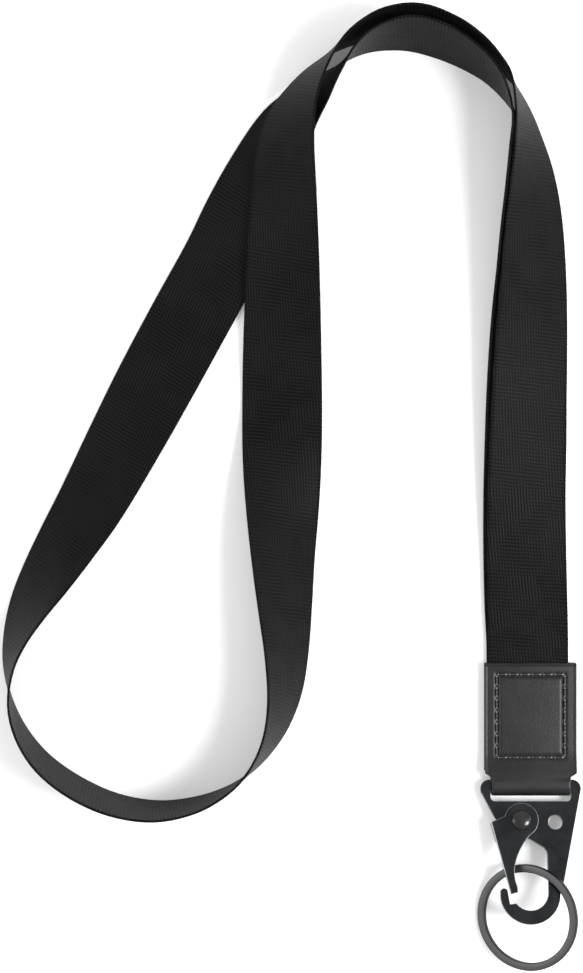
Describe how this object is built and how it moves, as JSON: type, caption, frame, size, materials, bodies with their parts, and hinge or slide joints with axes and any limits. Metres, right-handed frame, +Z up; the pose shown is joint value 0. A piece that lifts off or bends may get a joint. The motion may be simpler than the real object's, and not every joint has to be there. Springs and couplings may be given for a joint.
{
  "type": "lanyard badge holder",
  "caption": "Neck lanyard of woven ribbon with a leather tab, a sprung snap clip and a split key ring, laid out.",
  "frame": {"origin": "under the middle of the whole lanyard's bounding box, on the table it lies on", "axes": "+Z up from the table, +Y from the clip towards the top of the neck loop, +X to the tab's side"},
  "size_m": [0.1802, 0.296, 0.0257],
  "materials": {
    "ribbon": "satin weave",
    "leather": "smooth grained",
    "thread": "waxed thread",
    "clip_metal": "polished black nickel",
    "rivet_metal": "polished black nickel",
    "spring_steel": "drawn wire",
    "ring_metal": "dark nickel, satin"
  },
  "bodies": {
    "strap_and_tab": {"strap_front_run": "ribbon", "strap_outer_arch": "ribbon", "strap_middle_run": "ribbon", "strap_lower_bend": "ribbon", "strap_left_run": "ribbon", "strap_inner_arch": "ribbon", "strap_back_run": "ribbon", "leather_tab": "leather", "front_stitches": "thread", "back_stitches": "thread"},
    "clip": {"clip_frame": "clip_metal", "rivet": "rivet_metal", "gate_spring": "spring_steel"},
    "gate": {"gate": "clip_metal"},
    "ring": {"key_ring": "ring_metal"}
  },
  "joints": [
    {"name": "clip_swing", "type": "hinge", "parent": "strap_and_tab", "child": "clip", "pos_m": [0.07454, -0.09164, 0.003], "axis": [-1, 0, 0], "range_deg": [-115, 115]},
    {"name": "gate_pivot", "type": "hinge", "parent": "clip", "child": "gate", "pos_m": [0.07134, -0.10205, 0.00546], "axis": [0, 0.23, 0.9732], "range_deg": [0, 20], "stiffness_Nm_per_rad": 0.02, "springref_deg": -20.05, "deforming": ["gate_spring"]},
    {"name": "ring_turn", "type": "hinge", "parent": "clip", "child": "ring", "pos_m": [0.07304, -0.13164, 0.00816], "axis": [-0.454, 0, 0.891], "continuous": true}
  ]
}
